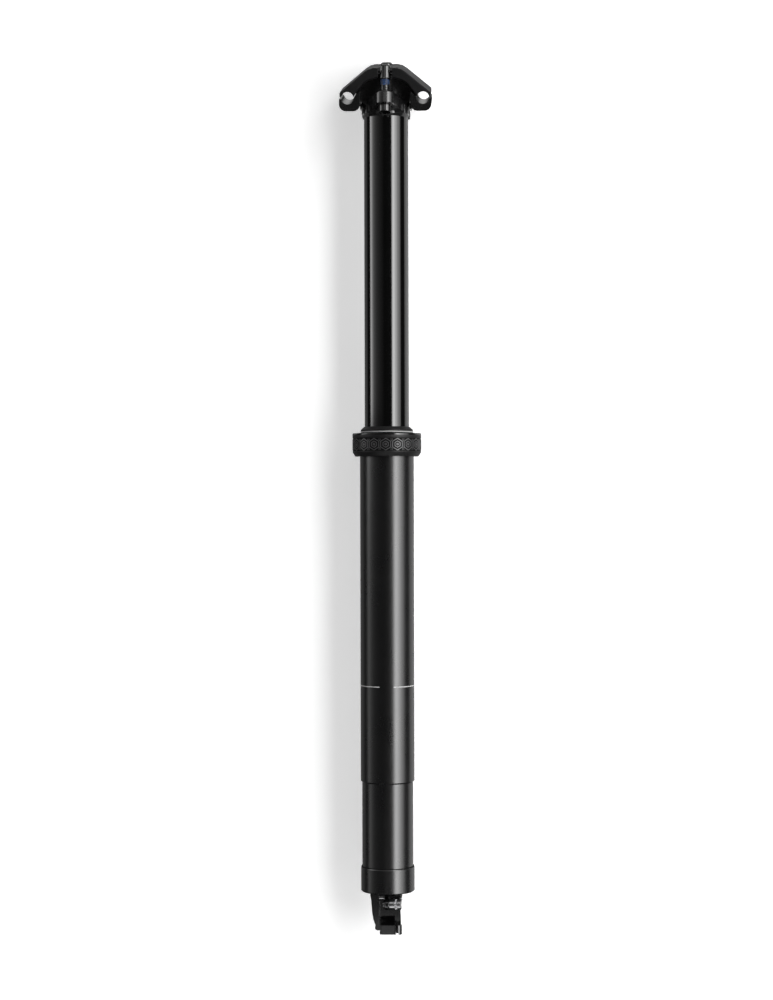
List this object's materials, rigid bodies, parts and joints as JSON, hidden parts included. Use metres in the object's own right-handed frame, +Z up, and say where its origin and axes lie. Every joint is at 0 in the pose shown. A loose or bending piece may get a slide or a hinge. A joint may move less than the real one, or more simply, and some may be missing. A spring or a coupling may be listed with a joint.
{
  "type": "dropper seatpost",
  "caption": "Telescopic bicycle seatpost at full height: gas cartridge in a sliding stanchion, two-bolt saddle rail clamp, hand-turned collar and cable-pulled release lever under its foot.",
  "frame": {"origin": "on the post's axis at the underside of the collar, where the frame's seat tube ends", "axes": "+Z up the post, -Y towards the front of the bicycle, +X to the rider's left"},
  "size_m": [0.0538, 0.0475, 0.513],
  "materials": {
    "tube_satin": "satin black anodised",
    "stanchion_gloss": "polished black anodised",
    "forged_black": "blasted black anodised forging",
    "collar_matt": "matt black with a raised grip pattern",
    "wiper_rubber": "black rubber",
    "seal_rubber": "black rubber",
    "ring_grey": "grey anodised",
    "bolt_black": "black oxide steel",
    "bright_steel": "bright steel",
    "key_brass": "machined brass",
    "guide_plastic": "low-friction plastic",
    "oil_foam": "oiled foam",
    "cartridge_metal": "machined aluminium",
    "bracket_gloss": "gloss black"
  },
  "bodies": {
    "lower_post": {"outer_tube": "tube_satin", "bottom_cap": "tube_satin", "upper_bushing": "guide_plastic", "bushing_clip": "bright_steel", "foam_ring": "oil_foam", "piston_rod": "bright_steel", "main_piston": "cartridge_metal", "piston_seal": "seal_rubber", "piston_nut": "cartridge_metal", "topout_bumper": "seal_rubber", "foot_washer": "bright_steel", "foot_nut": "cartridge_metal", "valve_spring": "bright_steel", "actuator_bracket": "bracket_gloss", "bracket_screws": "bright_steel", "lever_pin": "bright_steel", "pivot_clip": "bright_steel"},
    "sliding_post": {"stanchion": "stanchion_gloss", "guide_keys": "key_brass", "guide_shoe": "guide_plastic", "cartridge_cylinder": "cartridge_metal", "cartridge_gland": "cartridge_metal", "rod_seal": "seal_rubber", "gland_clip": "bright_steel", "top_plug": "cartridge_metal", "plug_ring": "seal_rubber", "fill_screw": "cartridge_metal", "cartridge_nut": "cartridge_metal", "head": "forged_black"},
    "float": {"floating_piston": "cartridge_metal", "floating_ring": "seal_rubber"},
    "saddle_clamp": {"lower_cradle": "forged_black", "upper_clamp": "forged_black"},
    "front_bolt_set": {"front_bolt": "bolt_black", "front_washer": "bolt_black"},
    "rear_bolt_set": {"rear_bolt": "bolt_black", "rear_washer": "bolt_black"},
    "front_nut_set": {"front_nut": "bolt_black"},
    "rear_nut_set": {"rear_nut": "bolt_black"},
    "seal_set": {"wiper_seal": "wiper_rubber", "wiper_ring": "ring_grey"},
    "collar_set": {"collar": "collar_matt"},
    "release_lever": {"lever": "bracket_gloss"},
    "anchor_set": {"cable_anchor": "bright_steel", "anchor_clip": "bolt_black"},
    "release_set": {"release_pin": "bright_steel"}
  },
  "joints": [
    {"name": "post_slide", "type": "slide", "parent": "lower_post", "child": "sliding_post", "axis": [0, 0, 1], "range_m": [-0.17, 0], "stiffness_N_per_m": 300, "springref_m": 0.4},
    {"name": "float_slide", "type": "slide", "parent": "sliding_post", "child": "float", "axis": [0, 0, 1], "range_m": [0, 0.03224]},
    {"name": "clamp_tilt", "type": "hinge", "parent": "sliding_post", "child": "saddle_clamp", "pos_m": [0, 0, 0.2123], "axis": [1, 0, 0], "range_deg": [-8, 8]},
    {"name": "front_bolt_swing", "type": "hinge", "parent": "sliding_post", "child": "front_bolt_set", "pos_m": [0, -0.02, 0.2015], "axis": [1, 0, 0], "range_deg": [-3.02, 3.02]},
    {"name": "rear_bolt_swing", "type": "hinge", "parent": "sliding_post", "child": "rear_bolt_set", "pos_m": [0, 0.0166, 0.2065], "axis": [1, 0, 0], "range_deg": [-4.58, 4.58]},
    {"name": "front_nut_swing", "type": "hinge", "parent": "saddle_clamp", "child": "front_nut_set", "pos_m": [0, -0.01641, 0.22333], "axis": [1, 0, 0], "range_deg": [-5.08, 5.08]},
    {"name": "rear_nut_swing", "type": "hinge", "parent": "saddle_clamp", "child": "rear_nut_set", "pos_m": [0, 0.0087, 0.23006], "axis": [1, 0, 0], "range_deg": [-3.52, 3.52]},
    {"name": "seal_lift", "type": "slide", "parent": "lower_post", "child": "seal_set", "axis": [0, 0, 1], "range_m": [0, 0.0071]},
    {"name": "collar_turn", "type": "hinge", "parent": "seal_set", "child": "collar_set", "pos_m": [0, 0, 0], "axis": [0, 0, 1], "range_deg": [0, 2520]},
    {"name": "lever_swing", "type": "hinge", "parent": "lower_post", "child": "release_lever", "pos_m": [0, -0.0042, -0.2586], "axis": [1, 0, 0], "range_deg": [0, 24]},
    {"name": "release_slide", "type": "slide", "parent": "lower_post", "child": "release_set", "axis": [0, 0, 1], "range_m": [0, 0.00175], "stiffness_N_per_m": 3000, "springref_m": -0.0016, "deforming": ["valve_spring"]},
    {"name": "anchor_swivel", "type": "hinge", "parent": "release_lever", "child": "anchor_set", "pos_m": [0, -0.01, -0.26165], "axis": [1, 0, 0], "range_deg": [-30, 30]}
  ],
  "couplings": [
    {"joint": "float_slide", "follows": "post_slide", "ratio": -0.18904},
    {"joint": "front_bolt_swing", "follows": "clamp_tilt", "ratio": 0.37163},
    {"joint": "rear_bolt_swing", "follows": "clamp_tilt", "ratio": 0.56626},
    {"joint": "front_nut_swing", "follows": "clamp_tilt", "ratio": -0.62837},
    {"joint": "rear_nut_swing", "follows": "clamp_tilt", "ratio": -0.43374},
    {"joint": "seal_lift", "follows": "collar_turn", "m_per_rad": 0.00015915},
    {"joint": "lever_swing", "follows": "release_slide", "rad_per_m": 239.15}
  ]
}
